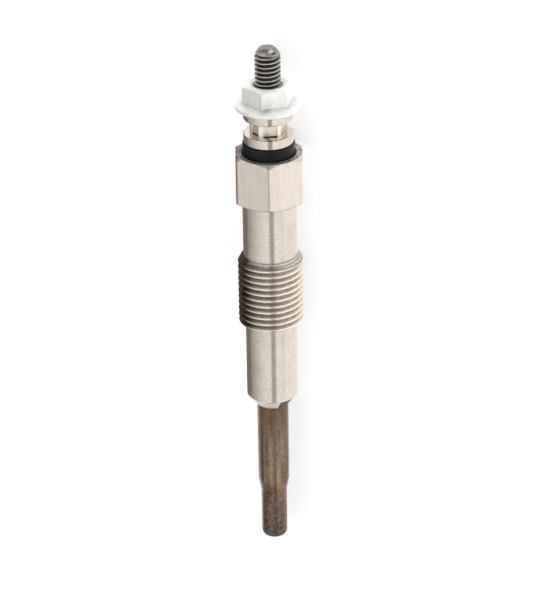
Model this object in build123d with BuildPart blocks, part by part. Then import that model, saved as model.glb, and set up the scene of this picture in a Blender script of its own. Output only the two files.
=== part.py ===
from build123d import *
from math import cos, radians, tan
import os

# A sheathed-element glow plug, lying on one flat of its hexagon, in millimetres.
# Stations run along its axis from the closed tip towards the terminal end, which is +X.

# Sheath: a thin tube, closed and rounded at the tip, swaged down over its end
sheath_diameter = 4.84
sheath_wall = 0.6
tip_diameter = 4.0
tip_wall = 0.5
tip_floor = 0.9
tip_round = 0.85
tip_length = 8.3
swage_length = 2.1
exposed_length = 24.0
pressed_length = 16.5
weld_height = 0.3
weld_width = 0.5

# Coils: heating coil in the tip, control coil behind it, on one centre line
coil_diameter = 2.0
coil_pitch = 1.3
heating_turns = 4
heating_wire = 0.36
control_turns = 4
control_wire = 0.42
turns_on_spigot = 1.5

# Housing, from its nose to its hexagon
seat_length = 1.75
seat_end_wall = 0.09
nose_diameter = 7.9
nose_length = 12.65
thread_diameter = 9.95
thread_length = 11.7
thread_end_chamfer = 0.25
shank_diameter = 8.25
shank_length = 8.8
hex_across_flats = 10.0
hex_length = 7.7
hex_chamfer_angle = 30
chamber_step = 0.39
drill_point_angle = 118
seal_bore_diameter = 8.0
bore_mouth_chamfer = 0.15

# Terminal rod: thin core in the sheath, full rod above it, metric stud at its end
core_diameter = 2.4
core_above_sheath = 2.5
rod_diameter = 3.9
stud_diameter = 3.95
stud_core_diameter = 3.2
stud_above_nut = 5.52
core_above_nut = 0.07
stud_point_length = 1.15
stud_point_diameter = 2.3
stud_point_chamfer = 0.2

# Seals and insulating bush
tube_seal_depth = 2.6
tube_seal_above_sheath = 0.6
bush_above_housing = 1.8
bush_in_housing = 4.2
bush_edge_chamfer = 0.25

# Contact ring: a spool, its neck pressed on the rod by six jaws
ring_diameter = 7.58
ring_lower_flange = 1.5
ring_upper_flange = 1.65
ring_edge_chamfer = 0.2
neck_diameter = 5.6
neck_length = 2.3
crimp_jaws = 6
crimp_across_flats = 4.5
crimp_width = 1.95
crimp_turn = 5.5

# Flange nut
nut_across_flats = 7.0
nut_height = 3.98
nut_corner_round = 0.35
nut_turn = 45.6
nut_flange_diameter = 9.94
nut_flange_rim = 0.6
nut_rim_chamfer = 0.2
nut_cone_angle = 23
nut_cone_top_diameter = 6.0
nut_top_diameter = 6.0
nut_chamfer_angle = 25
nut_countersink_diameter = 5.4
nut_countersink_angle = 120

# Clearances, on a radius or along the axis
press_gap = 0.01
packed_gap = 0.01
wire_gap = 0.02
slip_gap = 0.02
bush_gap = 0.05
nut_gap = 0.03
seat_gap = 0.01

# Radii that follow from the sizes above
sheath_radius = sheath_diameter / 2
sheath_bore = sheath_radius - sheath_wall
tip_radius = tip_diameter / 2
tip_bore = tip_radius - tip_wall
coil_radius = coil_diameter / 2
nose_radius = nose_diameter / 2
thread_radius = thread_diameter / 2
shank_radius = shank_diameter / 2
hex_flat_radius = hex_across_flats / 2
hex_corner_radius = hex_flat_radius / cos(radians(30))
press_bore = sheath_radius + press_gap
chamber_radius = press_bore + chamber_step
seal_bore_radius = seal_bore_diameter / 2
core_radius = core_diameter / 2
rod_radius = rod_diameter / 2
stud_radius = stud_diameter / 2
stud_core_radius = stud_core_diameter / 2
spigot_radius = coil_radius - control_wire / 2 - wire_gap
ring_radius = ring_diameter / 2
neck_radius = neck_diameter / 2
seal_section = seal_bore_radius - rod_radius - 2 * slip_gap

# Stations along the axis
swage_end = tip_length + swage_length
coil_start = tip_floor + weld_height + seat_gap + heating_wire / 2
coil_join = coil_start + heating_turns * coil_pitch
coil_end = coil_join + control_turns * coil_pitch
spigot_start = coil_end - turns_on_spigot * coil_pitch
core_start = coil_end + control_wire / 2 + wire_gap
sheath_end = exposed_length + pressed_length
seal_foot = sheath_end - tube_seal_depth
seal_top = sheath_end + tube_seal_above_sheath
core_end = sheath_end + core_above_sheath
seat_top = exposed_length + seat_length
thread_start = seat_top + nose_length
thread_end = thread_start + thread_length
hex_start = thread_end + shank_length
housing_top = hex_start + hex_length
bush_start = housing_top - bush_in_housing
bush_top = housing_top + bush_above_housing
seal_floor = bush_start - seal_section - 2 * slip_gap
ring_start = bush_top + seat_gap
neck_start = ring_start + ring_lower_flange
neck_end = neck_start + neck_length
ring_top = neck_end + ring_upper_flange
nut_start = ring_top + seat_gap
nut_top = nut_start + nut_height
stud_end = nut_top + stud_above_nut

# Half sections are drawn with x along the axis and y outwards; cross sections look along it
tip_point = (-stud_end / 2, 0, hex_flat_radius)
section = Plane(origin=tip_point, x_dir=(1, 0, 0), z_dir=(0, -1, 0))
across = Plane(origin=tip_point, x_dir=(0, 1, 0), z_dir=(1, 0, 0))
plug_axis = Axis(tip_point, (1, 0, 0))

os.makedirs("parts", exist_ok=True)


# Sheath tube
with BuildPart() as sheath_tube:
    with BuildSketch(section):
        with BuildLine():
            Polyline(
                (0, 0),
                (0, tip_radius),
                (tip_length, tip_radius),
                (swage_end, sheath_radius),
                (sheath_end, sheath_radius),
                (sheath_end, sheath_bore),
                (swage_end, sheath_bore),
                (tip_length, tip_bore),
                (tip_floor, tip_bore),
                (tip_floor, 0),
                close=True,
            )
        make_face()
        fillet(vertices().sort_by_distance((0, tip_radius))[0], tip_round)
    revolve(axis=plug_axis)
    with BuildSketch(across.offset(tip_floor)):
        with Locations((0, coil_radius)):
            Rectangle(weld_width, weld_width)
    extrude(amount=weld_height)
sheath_tube.part.label = "sheath_tube"
export_step(sheath_tube.part, "parts/sheath_tube.step")


def wound_coil(start, turns, wire_diameter):
    """A coil of four-sided wire, whose first turn starts at the given station."""
    foot = across.offset(start)
    with BuildPart() as coil:
        with BuildLine():
            turn = Helix(coil_pitch, turns * coil_pitch, coil_radius, foot.origin, foot.z_dir)
        with BuildSketch(Plane(origin=turn @ 0, z_dir=turn % 0)):
            RegularPolygon(wire_diameter / 2, 4)
        sweep(path=turn, is_frenet=True)
    return coil


# Heating coil, which starts on the weld in the closed tip
heating_coil = wound_coil(coil_start, heating_turns, heating_wire)
heating_coil.part.label = "heating_coil"
export_step(heating_coil.part, "parts/heating_coil.step")


# Control coil, from the end of the heating coil on to the rod's spigot
control_coil = wound_coil(coil_join, control_turns, control_wire)
control_coil.part.label = "control_coil"
export_step(control_coil.part, "parts/control_coil.step")


# Insulating powder, packed round the coils and the rod's core
channel_outside = coil_radius + control_wire / 2 + wire_gap
channel_inside = coil_radius - control_wire / 2 - wire_gap
with BuildPart() as insulating_powder:
    with BuildSketch(section):
        with BuildLine():
            Polyline(
                (tip_floor + packed_gap, 0),
                (tip_floor + packed_gap, tip_bore - packed_gap),
                (tip_length, tip_bore - packed_gap),
                (swage_end, sheath_bore - packed_gap),
                (seal_foot - seat_gap, sheath_bore - packed_gap),
                (seal_foot - seat_gap, core_radius + packed_gap),
                (core_start - packed_gap, core_radius + packed_gap),
                (core_start - packed_gap, channel_outside),
                (tip_floor + weld_height, channel_outside),
                (tip_floor + weld_height, channel_inside),
                (spigot_start - packed_gap, channel_inside),
                (spigot_start - packed_gap, 0),
                close=True,
            )
        make_face()
    revolve(axis=plug_axis)
    with BuildSketch(across.offset(tip_floor)):
        with Locations((0, coil_radius)):
            Rectangle(weld_width + 2 * packed_gap, weld_width + 2 * packed_gap)
    extrude(amount=weld_height + packed_gap, mode=Mode.SUBTRACT)
insulating_powder.part.label = "insulating_powder"
export_step(insulating_powder.part, "parts/insulating_powder.step")


# Terminal rod: spigot in the control coil, core in the powder, rod, and a threaded stud,
# drawn at its thread's core where the nut's thread engages it and at its crests above
with BuildPart() as terminal_rod:
    with BuildSketch(section):
        with BuildLine():
            Polyline(
                (spigot_start, 0),
                (spigot_start, spigot_radius),
                (core_start, spigot_radius),
                (core_start, core_radius),
                (core_end, core_radius),
                (core_end + rod_radius - core_radius, rod_radius),
                (ring_top, rod_radius),
                (ring_top, stud_core_radius),
                (nut_top + core_above_nut, stud_core_radius),
                (nut_top + core_above_nut, stud_radius),
                (stud_end - stud_point_length, stud_radius),
                (stud_end, stud_point_diameter / 2),
                (stud_end, 0),
                close=True,
            )
        make_face()
    revolve(axis=plug_axis)
    chamfer(edges().filter_by(GeomType.CIRCLE).sort_by(Axis.X)[-1], stud_point_chamfer)
terminal_rod.part.label = "terminal_rod"
export_step(terminal_rod.part, "parts/terminal_rod.step")


# Tube seal: a sleeve round the core, in the mouth of the sheath
with BuildPart() as tube_seal:
    with BuildSketch(across.offset(seal_foot)):
        Circle(sheath_bore - slip_gap)
        Circle(core_radius + slip_gap, mode=Mode.SUBTRACT)
    extrude(amount=seal_top - seal_foot)
tube_seal.part.label = "tube_seal"
export_step(tube_seal.part, "parts/tube_seal.step")


# Housing: turned outside, with the hexagon milled after, and bored in steps
press_bore_end = seal_top + core_above_sheath / 2
chamber_start = press_bore_end + (chamber_radius - press_bore) / tan(radians(drill_point_angle / 2))
hex_chamfer = (hex_corner_radius - hex_flat_radius) * tan(radians(hex_chamfer_angle))
with BuildPart() as housing:
    with BuildSketch(section):
        with BuildLine():
            Polyline(
                (exposed_length, press_bore),
                (exposed_length, press_bore + seat_end_wall),
                (seat_top, nose_radius),
                (thread_start, nose_radius),
                (thread_start, thread_radius - thread_end_chamfer),
                (thread_start + thread_end_chamfer, thread_radius),
                (thread_end - thread_radius + shank_radius, thread_radius),
                (thread_end, shank_radius),
                (hex_start, shank_radius),
                (hex_start, hex_flat_radius),
                (hex_start + hex_chamfer, hex_corner_radius),
                (housing_top - hex_chamfer, hex_corner_radius),
                (housing_top, hex_flat_radius),
                (housing_top, seal_bore_radius + bore_mouth_chamfer),
                (housing_top - bore_mouth_chamfer, seal_bore_radius),
                (seal_floor, seal_bore_radius),
                (seal_floor, chamber_radius),
                (chamber_start, chamber_radius),
                (press_bore_end, press_bore),
                close=True,
            )
        make_face()
    revolve(axis=plug_axis)
    with BuildSketch(across.offset(hex_start)):
        Circle(2 * hex_corner_radius)
        RegularPolygon(hex_flat_radius, 6, major_radius=False, mode=Mode.SUBTRACT)
    extrude(amount=hex_length, mode=Mode.SUBTRACT)
housing.part.label = "housing"
export_step(housing.part, "parts/housing.step")


# Seal ring, square in section, in its seat under the insulating bush
with BuildPart() as seal_ring:
    with BuildSketch(across.offset(seal_floor + slip_gap)):
        Circle(seal_bore_radius - slip_gap)
        Circle(rod_radius + slip_gap, mode=Mode.SUBTRACT)
    extrude(amount=seal_section)
seal_ring.part.label = "seal_ring"
export_step(seal_ring.part, "parts/seal_ring.step")


# Insulating bush
with BuildPart() as insulating_bush:
    with BuildSketch(across.offset(bush_start)):
        Circle(seal_bore_radius - bush_gap)
        Circle(rod_radius + bush_gap, mode=Mode.SUBTRACT)
    extrude(amount=bush_top - bush_start)
    chamfer(edges().group_by(Axis.X)[-1].sort_by(SortBy.LENGTH)[-1], bush_edge_chamfer)
insulating_bush.part.label = "insulating_bush"
export_step(insulating_bush.part, "parts/insulating_bush.step")


# Contact ring: turned as a spool, then its neck is flattened by the jaws
jaw_depth = ring_radius - crimp_across_flats / 2
with BuildPart() as contact_ring:
    with BuildSketch(section):
        with BuildLine():
            Polyline(
                (ring_start, rod_radius + press_gap),
                (ring_start, ring_radius - ring_edge_chamfer),
                (ring_start + ring_edge_chamfer, ring_radius),
                (neck_start - ring_edge_chamfer, ring_radius),
                (neck_start, ring_radius - ring_edge_chamfer),
                (neck_start, neck_radius),
                (neck_end, neck_radius),
                (neck_end, ring_radius - ring_edge_chamfer),
                (neck_end + ring_edge_chamfer, ring_radius),
                (ring_top - ring_edge_chamfer, ring_radius),
                (ring_top, ring_radius - ring_edge_chamfer),
                (ring_top, rod_radius + press_gap),
                close=True,
            )
        make_face()
    revolve(axis=plug_axis)
    with BuildSketch(across.offset(neck_start)):
        with PolarLocations(crimp_across_flats / 2 + jaw_depth / 2, crimp_jaws, crimp_turn):
            Rectangle(jaw_depth, crimp_width)
    extrude(amount=neck_length, mode=Mode.SUBTRACT)
contact_ring.part.label = "contact_ring"
export_step(contact_ring.part, "parts/contact_ring.step")


# Flange nut: hexagon with its top corners turned off, on a coned flange
nut_bore = stud_core_radius + nut_gap
nut_corner = nut_across_flats / 2 / cos(radians(30))
nut_chamfer = (nut_corner - nut_top_diameter / 2) * tan(radians(nut_chamfer_angle))
flange_radius = nut_flange_diameter / 2
cone_top_radius = nut_cone_top_diameter / 2
cone_foot = nut_start + nut_flange_rim
cone_top = cone_foot + (flange_radius - cone_top_radius) * tan(radians(nut_cone_angle))
countersink = (nut_countersink_diameter / 2 - nut_bore) / tan(radians(nut_countersink_angle / 2))
with BuildPart() as terminal_nut:
    with BuildSketch(across.offset(nut_start)):
        RegularPolygon(nut_across_flats / 2, 6, major_radius=False, rotation=nut_turn)
        fillet(vertices(), nut_corner_round)
    extrude(amount=nut_height)
    with BuildSketch(section):
        with BuildLine():
            Polyline(
                (nut_start, 0),
                (nut_start, nut_corner),
                (nut_top - nut_chamfer, nut_corner),
                (nut_top, nut_top_diameter / 2),
                (nut_top, 0),
                close=True,
            )
        make_face()
    revolve(axis=plug_axis, mode=Mode.INTERSECT)
    with BuildSketch(section):
        with BuildLine():
            Polyline(
                (nut_start, 0),
                (nut_start, flange_radius),
                (cone_foot, flange_radius),
                (cone_top, cone_top_radius),
                (cone_top, 0),
                close=True,
            )
        make_face()
        rim = vertices().sort_by(Axis.Y)[-2:]
        chamfer(rim, nut_rim_chamfer)
    revolve(axis=plug_axis)
    with BuildSketch(section):
        with BuildLine():
            Polyline(
                (nut_start, 0),
                (nut_start, nut_bore),
                (nut_top - countersink, nut_bore),
                (nut_top, nut_countersink_diameter / 2),
                (nut_top, 0),
                close=True,
            )
        make_face()
    revolve(axis=plug_axis, mode=Mode.SUBTRACT)
terminal_nut.part.label = "terminal_nut"
export_step(terminal_nut.part, "parts/terminal_nut.step")
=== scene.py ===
"""A sheathed-element glow plug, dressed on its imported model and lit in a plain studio.

Shapes are worked out in millimetres: a station runs along the plug's axis from the closed tip
to the terminal, and an angle runs round it from +Y towards +Z. Each mesh is made of grids of
points that are functions of the two.
"""

import logging
from dataclasses import dataclass, field, replace
from enum import Enum

import bmesh
import bpy
import numpy as np
from mathutils import Matrix, Vector


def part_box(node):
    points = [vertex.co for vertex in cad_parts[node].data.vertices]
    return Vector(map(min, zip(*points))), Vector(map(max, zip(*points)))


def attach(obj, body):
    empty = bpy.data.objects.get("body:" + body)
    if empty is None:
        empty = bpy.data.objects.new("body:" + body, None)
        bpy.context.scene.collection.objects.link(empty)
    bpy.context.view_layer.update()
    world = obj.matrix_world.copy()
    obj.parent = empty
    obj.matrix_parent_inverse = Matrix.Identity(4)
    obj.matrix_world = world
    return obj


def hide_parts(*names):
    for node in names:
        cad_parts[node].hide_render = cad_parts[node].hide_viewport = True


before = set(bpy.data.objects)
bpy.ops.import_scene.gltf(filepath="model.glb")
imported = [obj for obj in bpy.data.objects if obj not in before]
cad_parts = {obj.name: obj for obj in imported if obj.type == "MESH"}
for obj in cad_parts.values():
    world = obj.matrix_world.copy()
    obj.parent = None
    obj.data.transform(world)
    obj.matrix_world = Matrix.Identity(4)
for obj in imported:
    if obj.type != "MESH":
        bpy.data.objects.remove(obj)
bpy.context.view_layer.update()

MM = 0.001
TURN = 2 * np.pi
WELD_DISTANCE = 2e-7
CREASE_ANGLE = np.radians(28)
HOUSING_FOOT = 24.0
FRONT = np.radians(120)
# A Mix node has sockets for every type of data. These are the numbers of those for colours.
MIX_A, MIX_B, MIX_RESULT = 6, 7, 2
NOISE_INPUTS = ("Vector", "Scale", "Detail", "Roughness")

logging.basicConfig(level=logging.INFO, format="%(message)s")
log = logging.getLogger("glow_plug")

Array = np.ndarray
Number = float | Array
Corner = tuple[Number, Number, float]
Pair = tuple[float, float]
Row = tuple[float, ...]
Object = bpy.types.Object
Tree = bpy.types.NodeTree
Socket = bpy.types.NodeSocket
Outputs = bpy.types.NodeOutputs


@dataclass(frozen=True)
class PlugAxis:
    """Turns stations, radii and angles into points. Its two sizes are in millimetres."""

    start: float
    height: float

    def points(self, station: Number, radius: Number, angle: Number) -> Array:
        """Points at polar places round the axis.

        X is the start plus the station, Y the radius times the angle's cosine, and Z the height
        plus the radius times its sine.

        Args:
            station: Stations, in millimetres.
            radius: Distances from the axis, in millimetres.
            angle: Angles in radians.

        Returns:
            Points in metres, by X, Y and Z.
        """
        station, radius, angle = np.broadcast_arrays(station, radius, angle)
        across = radius * np.cos(angle)
        up = self.height + radius * np.sin(angle)
        return np.stack([self.start + station, across, up], axis=-1) * MM


def plug_axis() -> PlugAxis:
    """The axis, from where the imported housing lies."""
    low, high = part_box("housing")
    return PlugAxis(low.x / MM - HOUSING_FOOT, (low.z + high.z) / 2 / MM)


AXIS = plug_axis()


def rounded(corners: list[Corner], steps: int = 6, closed: bool = False) -> Array:
    """A profile whose corners are rounded by arcs, for one column or for many at once.

    A corner is cut back along both sides by its radius over the tangent of half its angle. The
    arc is drawn about the point that lies that radius from both sides.

    Args:
        corners: Stations and radii, each a number or one for each column, with how far each
            corner is rounded, which may be 0.
        steps: How many pieces an arc has.
        closed: Whether the last corner joins the first.

    Returns:
        Rows of columns of station and radius.
    """
    width = max(np.size(value) for corner in corners for value in corner[:2])
    spread = [[np.broadcast_to(value, width) for value in corner[:2]] for corner in corners]
    places = np.moveaxis(np.array(spread, float), 1, -1)
    rows = []
    for number, (_, _, radius) in enumerate(corners):
        here = places[number]
        if radius <= 0 or not (closed or 0 < number < len(corners) - 1):
            rows.append(here[None])
            continue
        back = places[number - 1] - here
        ahead = places[(number + 1) % len(places)] - here
        back_length = np.linalg.norm(back, axis=-1, keepdims=True)
        ahead_length = np.linalg.norm(ahead, axis=-1, keepdims=True)
        back, ahead = back / back_length, ahead / ahead_length
        half = np.arccos(np.clip((back * ahead).sum(-1, keepdims=True), -1, 1)) / 2
        cut = np.minimum(radius / np.tan(half), 0.49 * np.minimum(back_length, ahead_length))
        middle = back + ahead
        middle = middle / np.linalg.norm(middle, axis=-1, keepdims=True)
        centre = here + middle * cut / np.cos(half)
        first, last = here + back * cut - centre, here + ahead * cut - centre
        crossed = first[:, :1] * last[:, 1:] - first[:, 1:] * last[:, :1]
        turn = np.arctan2(crossed, (first * last).sum(-1, keepdims=True))
        swing = turn * np.linspace(0, 1, steps + 1)[:, None, None]
        quarter = np.stack([-first[:, 1], first[:, 0]], axis=-1)
        rows.append(centre + np.cos(swing) * first + np.sin(swing) * quarter)
    return np.concatenate(rows)


def hexagon_radius(angle: Array, flat: float, corner: float, turn: float) -> Array:
    """Radius of a hexagon with rounded corners, as a function of the angle.

    On a flat it is the flat's distance over the cosine of the angle from the flat's middle.
    Near a corner it is where the ray meets the corner's circle.

    Args:
        angle: Angles in radians.
        flat: Distance of a flat from the axis.
        corner: Radius of the corners.
        turn: Angle of one corner, in radians.

    Returns:
        The radii.
    """
    sixth = np.pi / 3
    off_corner = np.abs((angle - turn + sixth / 2) % sixth - sixth / 2)
    off_flat = sixth / 2 - off_corner
    centre = (flat - corner) / np.cos(sixth / 2)
    reach = centre * np.sin(off_corner)
    arc = centre * np.cos(off_corner) + np.sqrt(np.maximum(corner**2 - reach**2, 0))
    straight_until = (flat - corner) * np.tan(sixth / 2)
    return np.where(flat * np.tan(off_flat) <= straight_until, flat / np.cos(off_flat), arc)


def angles_round(count: int, turn: float | None = None, spread: float = 2.0) -> Array:
    """Angles once round, closer together beside a hexagon's corners.

    Args:
        count: How many even steps a turn has.
        turn: Angle of one corner in radians, or None for even steps alone.
        spread: How far the added angles lie from a corner, in degrees.

    Returns:
        Rising angles in radians, the last a whole turn after the first.
    """
    even = np.linspace(0, TURN, count, endpoint=False)
    if turn is not None:
        corners = turn + np.arange(6) * np.pi / 3
        offsets = np.radians(spread) * np.linspace(-1, 1, 9)
        even = np.concatenate([even, (corners[:, None] + offsets).ravel() % TURN])
    merged = np.unique(np.round(even, 6))
    merged = merged[np.append(True, np.diff(merged) > 1e-4)]
    return np.append(merged, merged[0] + TURN)


def angle_from(angles: Array, middle: float) -> Array:
    """How far angles lie from a middle one, from minus to plus half a turn, in radians."""
    return (angles - middle + np.pi) % TURN - np.pi


def stripe(angles: Array, middle: float, half: float, share: float) -> Array:
    """A soft line along the axis: full to half its half width, and gone at 1.5 times it.

    Args:
        angles: Angles in radians.
        middle: The line's middle, in degrees.
        half: Its half width, in degrees.
        share: Its full strength.

    Returns:
        Its strength at each angle.
    """
    off = np.abs(angles % TURN - np.radians(middle)) / np.radians(half)
    return share * np.clip(1.5 - off, 0, 1)


@dataclass
class Patch:
    """A grid of points, with its finish, its wear, and its grime and painted shade at each point.
    """

    points: Array
    finish: int = 0
    worn: Number = 0.0
    grime: Number = 0.0

    def faces(self, first: int = 0) -> Array:
        """The grid's four-sided faces.

        Args:
            first: The number of the grid's first point.

        Returns:
            Rows of four point numbers.
        """
        rows, columns = self.points.shape[:2]
        index = first + np.arange(rows * columns).reshape(rows, columns)
        corners = [index[:-1, :-1], index[:-1, 1:], index[1:, 1:], index[1:, :-1]]
        return np.stack(corners, axis=-1).reshape(-1, 4)


def lathe(profile: Array, angles: Array, **marks: object) -> Patch:
    """Rows of stations and radii, carried once round the axis.

    Args:
        profile: What rounded() returns, with one column or one for each angle.
        angles: The angles.
        marks: What else the patch takes.

    Returns:
        The patch.
    """
    return Patch(AXIS.points(profile[..., 0], profile[..., 1], angles[None, :]), **marks)


def linear(code: str) -> Row:
    """A colour's linear values.

    Args:
        code: The colour, written as sRGB hex.

    Returns:
        Red, green, blue and full opacity.
    """
    parts = np.array([int(code[i : i + 2], 16) for i in (1, 3, 5)]) / 255
    values = np.where(parts <= 0.04045, parts / 12.92, ((parts + 0.055) / 1.055) ** 2.4)
    return (*values.tolist(), 1.0)


def add_node(tree: Tree, kind: str, inputs: dict | list, **settings: object) -> Outputs:
    """Adds a shader node.

    Args:
        tree: The node tree.
        kind: Blender's name for the node, without its first word, ShaderNode.
        inputs: Values or outputs, by sockets' names or numbers or as a list in their order.
        settings: The node's own properties.

    Returns:
        Its outputs.
    """
    node = tree.nodes.new("ShaderNode" + kind)
    for key, value in settings.items():
        setattr(node, key, value)
    for key, value in inputs.items() if isinstance(inputs, dict) else enumerate(inputs):
        if isinstance(value, Socket):
            tree.links.new(value, node.inputs[key])
        else:
            node.inputs[key].default_value = value
    return node.outputs


@dataclass(frozen=True)
class Finish:
    """What a surface is made of and how it was made. Each kind lays out its own nodes."""

    name: str
    kind = "BsdfPrincipled"

    def inputs(self, tree: Tree) -> dict:
        """Lays out nodes in an empty tree and gives what the shader's sockets take."""
        raise NotImplementedError

    def material(self) -> bpy.types.Material:
        """Builds the material.

        Returns:
            The material, named for the finish.
        """
        material = bpy.data.materials.new(self.name)
        material.use_nodes = True
        material.node_tree.nodes.clear()
        tree = material.node_tree
        shader = add_node(tree, self.kind, self.inputs(tree))
        add_node(tree, "OutputMaterial", {"Surface": shader[0]})
        return material


class Grain(Enum):
    """Which way tool marks run, as how often they repeat per millimetre along X, Y and Z.

    Turning marks really lie about 0.1 mm apart. They are drawn 0.3 mm apart, to show.
    """

    TURNED = (3.2, 0.25, 0.25)
    DRAWN = (0.12, 4.5, 4.5)
    CAST = (2.5, 2.5, 2.5)


@dataclass(frozen=True)
class MetalFinish(Finish):
    """A bare or plated metal, with tool marks, stains, pits and wear.

    A noise is given by its detail and its roughness, and a range holds the noise values between
    which a pattern comes in. Grime, painted shade and bright metal follow the mesh's own marks;
    grime and painted shade share one dark tone. Pits are drawn 0.3 to 0.5 mm apart, several times
    as coarse as they are, to show.
    """

    clean: str
    stain: str
    grime_and_shade_tone: str
    bright: str
    grain: Grain
    roughness: float = 0.3
    grain_depth: float = 0.15
    grain_contrast: float = 0.12
    stain_share: float = 0.3
    stain_per_mm: float = 0.35
    grime_share: float = 0.9
    pit_share: float = 0.0
    pit_per_mm: float = 2.2
    stain_range: Pair = (0.42, 0.7)
    grime_range: Pair = (0.3, 0.62)
    grain_range: Pair = (0.3, 0.7)
    pit_range: Pair = (0.52, 0.6)
    thin_grime: float = 0.6
    smooth_to_rough: Pair = (0.85, 1.2)
    grime_dulls: float = 0.2
    pits_dull: float = 0.25
    grain_height: float = 0.04
    pit_height: float = 0.05
    grain_noise: Pair = (4.0, 0.65)
    stain_noise: Pair = (6.0, 0.75)
    pit_noise: Pair = (3.0, 0.7)

    def inputs(self, tree: Tree) -> dict:
        """Lays out the metal's nodes.

        Args:
            tree: An empty node tree.

        Returns:
            What the shader's sockets take.
        """
        place = add_node(tree, "TexCoord", [])["Object"]
        scale = [value / MM for value in self.grain.value]
        grain_place = add_node(tree, "Mapping", {"Vector": place, "Scale": scale})["Vector"]
        grain, patches, pits = (
            add_node(tree, "TexNoise", dict(zip(NOISE_INPUTS, given)))["Fac"]
            for given in (
                (grain_place, 1.0, *self.grain_noise),
                (place, self.stain_per_mm / MM, *self.stain_noise),
                (place, self.pit_per_mm / MM, *self.pit_noise),
            )
        )
        low, high = self.smooth_to_rough
        stained, thick, marked, pitted, rough = (
            add_node(tree, "MapRange", given)["Result"]
            for given in (
                [patches, *self.stain_range, 0.0, self.stain_share],
                [patches, *self.grime_range, self.grime_share * self.thin_grime, self.grime_share],
                [grain, *self.grain_range, 0.0, self.grain_contrast],
                [pits, *self.pit_range, 0.0, self.pit_share],
                [grain, *self.grain_range, self.roughness * low, self.roughness * high],
            )
        )
        grime, worn = (
            add_node(tree, "Attribute", [], attribute_name=mark)["Fac"]
            for mark in ("grime", "worn")
        )
        # Grime and painted shade darken the metal through this one mask.
        grimed = add_node(tree, "Math", [grime, thick], operation="MULTIPLY")["Value"]
        layers = (
            (stained, self.stain), (marked, self.stain), (grimed, self.grime_and_shade_tone), (pitted, self.grime_and_shade_tone),
            (worn, self.bright),
        )
        colour = linear(self.clean)
        for share, code in layers:
            given = {0: share, MIX_A: colour, MIX_B: linear(code)}
            colour = add_node(tree, "Mix", given, data_type="RGBA")[MIX_RESULT]
        for share, more in ((grimed, self.grime_dulls), (pitted, self.pits_dull)):
            rough = add_node(tree, "Math", [share, more, rough], operation="MULTIPLY_ADD")["Value"]
        given = {"Strength": self.grain_depth, "Distance": self.grain_height * MM, "Height": grain}
        bump = add_node(tree, "Bump", given)["Normal"]
        strength = min(1.0, self.pit_share)
        given = {"Strength": strength, "Distance": self.pit_height * MM, "Height": pits}
        bump = add_node(tree, "Bump", {**given, "Normal": bump}, invert=True)["Normal"]
        return {"Base Color": colour, "Metallic": 1.0, "Roughness": rough, "Normal": bump}


@dataclass(frozen=True)
class HeatTintFinish(Finish):
    """Heat-resisting steel tube, drawn, then coloured by its own heat.

    The tint is read from bands along the axis, shifted by fine noise so that they end in a
    mottle. Noise stretched along the tube darkens it in streaks, and the fine noise shows where
    it is rubbed pale. The mottle is about 0.5 mm across, coarser than it is, to show.
    """

    bands: tuple[tuple[float, str], ...]
    dark: str
    pale: str
    shift: float = 3.0
    roughness: float = 0.34
    streaks_per_mm: Row = (0.1, 1.0, 1.0)
    mottle_per_mm: float = 2.1
    streak_range: Pair = (0.4, 0.62)
    streak_share: float = 0.8
    rub_range: Pair = (0.45, 0.72)
    rub_ends: Pair = (15.0, 20.0)
    rub_shares: Pair = (0.36, 0.18)
    rough_range: Pair = (0.3, 0.7)
    rough_to_smooth: Pair = (1.25, 0.75)
    streak_depth: float = 0.25
    mottle_depth: float = 0.2
    height: float = 0.04
    streak_noise: Pair = (3.0, 0.55)
    mottle_noise: Pair = (5.0, 0.7)

    def inputs(self, tree: Tree) -> dict:
        """Lays out the tube's nodes.

        Args:
            tree: An empty node tree.

        Returns:
            What the shader's sockets take.
        """
        place = add_node(tree, "TexCoord", [])["Object"]
        scale = [value / MM for value in self.streaks_per_mm]
        streak_place = add_node(tree, "Mapping", {"Vector": place, "Scale": scale})["Vector"]
        streaks, mottle = (
            add_node(tree, "TexNoise", dict(zip(NOISE_INPUTS, given)))["Fac"]
            for given in (
                (streak_place, 1.0, *self.streak_noise),
                (place, self.mottle_per_mm / MM, *self.mottle_noise),
            )
        )
        along = add_node(tree, "SeparateXYZ", [place])["X"]
        given = [along, 1 / MM, -AXIS.start]
        station = add_node(tree, "Math", given, operation="MULTIPLY_ADD")["Value"]
        given = [mottle, self.shift, station]
        shifted = add_node(tree, "Math", given, operation="MULTIPLY_ADD")["Value"]
        half, length = self.shift / 2, self.bands[-1][0]
        dull, shiny = self.rough_to_smooth
        share, darkened, used, rough = (
            add_node(tree, "MapRange", given)["Result"]
            for given in (
                [shifted, half, length + half],
                [streaks, *self.streak_range, 0.0, self.streak_share],
                [station, *self.rub_ends, *self.rub_shares],
                [mottle, *self.rough_range, self.roughness * dull, self.roughness * shiny],
            )
        )
        rubbed = add_node(tree, "MapRange", [mottle, *self.rub_range, 0.0, used])["Result"]
        colour = add_node(tree, "ValToRGB", [share])["Color"]
        ramp = colour.node.color_ramp
        while len(ramp.elements) < len(self.bands):
            ramp.elements.new(1.0)
        for element, (at, code) in zip(ramp.elements, self.bands):
            element.position = at / length
            element.color = linear(code)
        for mask, code in ((darkened, self.dark), (rubbed, self.pale)):
            given = {0: mask, MIX_A: colour, MIX_B: linear(code)}
            colour = add_node(tree, "Mix", given, data_type="RGBA")[MIX_RESULT]
        given = {"Strength": self.streak_depth, "Distance": self.height * MM, "Height": streaks}
        bump = add_node(tree, "Bump", given)["Normal"]
        given = {"Strength": self.mottle_depth, "Distance": self.height * MM, "Height": mottle}
        bump = add_node(tree, "Bump", {**given, "Normal": bump})["Normal"]
        return {"Base Color": colour, "Metallic": 1.0, "Roughness": rough, "Normal": bump}


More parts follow.
